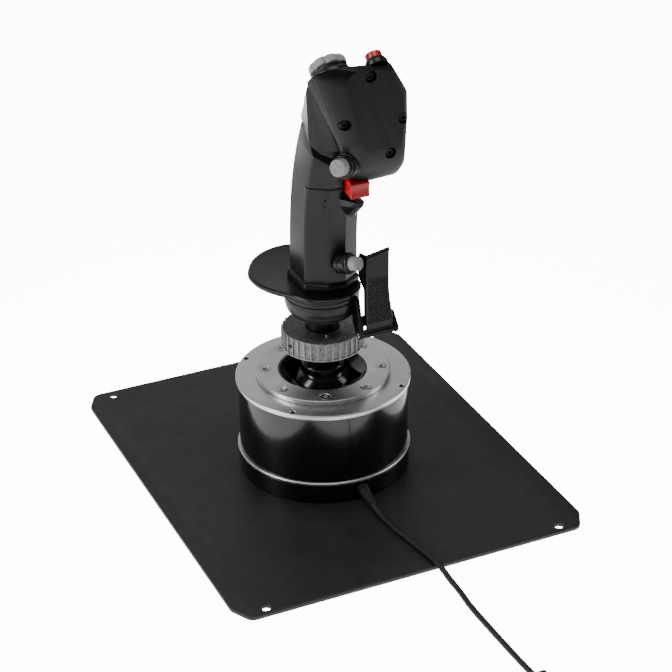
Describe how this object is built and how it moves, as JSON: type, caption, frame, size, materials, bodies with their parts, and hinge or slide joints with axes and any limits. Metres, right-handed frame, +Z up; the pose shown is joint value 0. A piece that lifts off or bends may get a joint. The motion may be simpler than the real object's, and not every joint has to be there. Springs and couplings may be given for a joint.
{
  "type": "flight joystick",
  "caption": "Desktop flight stick: weighted flat plate, round gimbal base, lock ring, angular grip with hand rest, paddle lever, trigger, push buttons and hats.",
  "frame": {"origin": "on the axis of the round base, at the underside of the plate", "axes": "+Z up, +Y forward away from the user, +X to the user's right"},
  "size_m": [0.253, 0.4673, 0.3113],
  "materials": {
    "powder_coat": "satin black powder coat",
    "gloss_black": "polished black",
    "flange_metal": "satin turned aluminium",
    "ring_metal": "satin aluminium",
    "cast_metal": "bead-blasted cast aluminium",
    "steel": "bright steel",
    "black_metal": "black anodised metal",
    "bearing_bronze": "plain bearing bronze",
    "grip_black": "fine matte black",
    "cap_grey": "light grey",
    "control_red": "red",
    "cable_rubber": "soft black",
    "board_green": "solder mask"
  },
  "bodies": {
    "base": {"base_plate": "powder_coat", "plate_screws": "steel", "lower_housing": "gloss_black", "trim_ring": "ring_metal", "base_shell": "gloss_black", "top_flange": "flange_metal", "flange_screws": "steel", "cover_ring": "ring_metal", "cover_ring_screws": "steel", "gate_cup": "gloss_black", "gimbal_cage": "ring_metal", "pitch_bushes": "bearing_bronze", "cage_standoffs": "ring_metal", "tie_rods": "ring_metal", "centring_spring": "steel", "sensor_board": "board_green", "controller_board": "board_green", "strain_relief": "cable_rubber", "usb_cable": "cable_rubber", "usb_plug": "cable_rubber"},
    "gimbal": {"gimbal_ring": "ring_metal", "roll_bushes": "bearing_bronze"},
    "shaft": {"stick_shaft": "steel", "cross_pin": "steel", "sensor_magnet": "steel", "dust_dome": "gloss_black", "grip_socket": "black_metal"},
    "grip": {"grip_neck": "black_metal", "grip_plug": "black_metal", "lower_collar": "grip_black", "hand_rest": "grip_black", "paddle_bracket": "black_metal", "paddle_pin": "steel", "handle_shell": "grip_black", "handle_front_panel": "grip_black", "head_shell": "grip_black", "head_cover": "grip_black", "cover_screws": "black_metal", "trigger_pin": "steel", "red_button_collar": "grip_black", "side_button_collar": "grip_black", "lower_button_boss": "grip_black", "trim_hat_collar": "grip_black", "hat_collars": "grip_black", "grip_board": "board_green"},
    "lock_ring": {"lock_ring": "cast_metal", "lock_ring_pin": "steel"},
    "paddle": {"paddle_lever": "black_metal"},
    "trigger": {"trigger": "control_red"},
    "red_button": {"red_button": "control_red"},
    "side_button": {"side_button": "cap_grey"},
    "lower_button": {"lower_button": "cap_grey"},
    "trim_rocker": {"trim_hat_rocker": "cap_grey"},
    "trim_hat": {"trim_hat": "cap_grey"},
    "right_rocker": {"right_hat_rocker": "cap_grey"},
    "right_hat": {"right_hat": "cap_grey"},
    "left_rocker": {"left_hat_rocker": "cap_grey"},
    "left_hat": {"left_hat": "cap_grey"},
    "side_rocker": {"side_hat_rocker": "cap_grey"},
    "side_hat": {"side_hat": "cap_grey"}
  },
  "joints": [
    {"name": "stick_pitch", "type": "hinge", "parent": "base", "child": "gimbal", "pos_m": [0, 0, 0.056], "axis": [1, 0, 0], "range_deg": [-18, 18], "stiffness_Nm_per_rad": 0.6},
    {"name": "stick_roll", "type": "hinge", "parent": "gimbal", "child": "shaft", "pos_m": [0, 0, 0.056], "axis": [0, 1, 0], "range_deg": [-18, 18], "stiffness_Nm_per_rad": 0.6, "deforming": ["centring_spring"]},
    {"name": "grip_lift", "type": "slide", "parent": "shaft", "child": "grip", "axis": [0, 0, 1], "range_m": [0, 0.005]},
    {"name": "lock_ring_turn", "type": "hinge", "parent": "grip", "child": "lock_ring", "pos_m": [0, 0, 0.1], "axis": [0, 0, 1], "range_deg": [0, 900]},
    {"name": "paddle_pull", "type": "hinge", "parent": "grip", "child": "paddle", "pos_m": [0, 0.029, 0.1115], "axis": [1, 0, 0], "range_deg": [0, 7]},
    {"name": "trigger_pull", "type": "hinge", "parent": "grip", "child": "trigger", "pos_m": [-0.0157, 0.016, 0.234], "axis": [1, 0, 0], "range_deg": [-12, 0]},
    {"name": "red_button_press", "type": "slide", "parent": "grip", "child": "red_button", "axis": [0, 0.766, -0.6428], "range_m": [0, 0.0018]},
    {"name": "side_button_press", "type": "slide", "parent": "grip", "child": "side_button", "axis": [-0.8037, -0.5525, -0.221], "range_m": [0, 0.0015]},
    {"name": "lower_button_press", "type": "slide", "parent": "grip", "child": "lower_button", "axis": [0.4009, -0.8721, -0.2807], "range_m": [0, 0.0015]},
    {"name": "trim_hat_fore_aft", "type": "hinge", "parent": "grip", "child": "trim_rocker", "pos_m": [-0.0012, 0.01589, 0.29535], "axis": [1, 0, 0], "range_deg": [-7, 7]},
    {"name": "trim_hat_sideways", "type": "hinge", "parent": "trim_rocker", "child": "trim_hat", "pos_m": [-0.0012, 0.01589, 0.29535], "axis": [0, 0.6428, 0.766], "range_deg": [-7, 7]},
    {"name": "right_hat_fore_aft", "type": "hinge", "parent": "grip", "child": "right_rocker", "pos_m": [0.0015, -0.00585, 0.2679], "axis": [1, 0, 0], "range_deg": [-8, 8]},
    {"name": "right_hat_sideways", "type": "hinge", "parent": "right_rocker", "child": "right_hat", "pos_m": [0.0015, -0.00585, 0.2679], "axis": [0, 0.6428, 0.766], "range_deg": [-8, 8]},
    {"name": "left_hat_fore_aft", "type": "hinge", "parent": "grip", "child": "left_rocker", "pos_m": [-0.03, -0.0007, 0.27403], "axis": [1, 0, 0], "range_deg": [-8, 8]},
    {"name": "left_hat_sideways", "type": "hinge", "parent": "left_rocker", "child": "left_hat", "pos_m": [-0.03, -0.0007, 0.27403], "axis": [0, 0.6428, 0.766], "range_deg": [-8, 8]},
    {"name": "side_hat_fore_aft", "type": "hinge", "parent": "grip", "child": "side_rocker", "pos_m": [-0.0481, 0.004, 0.262], "axis": [0, 1, 0], "range_deg": [-8, 8]},
    {"name": "side_hat_sideways", "type": "hinge", "parent": "side_rocker", "child": "side_hat", "pos_m": [-0.0481, 0.004, 0.262], "axis": [0, 0, 1], "range_deg": [-8, 8]}
  ],
  "couplings": [
    {"joint": "grip_lift", "follows": "lock_ring_turn", "m_per_rad": 0.00031831}
  ]
}
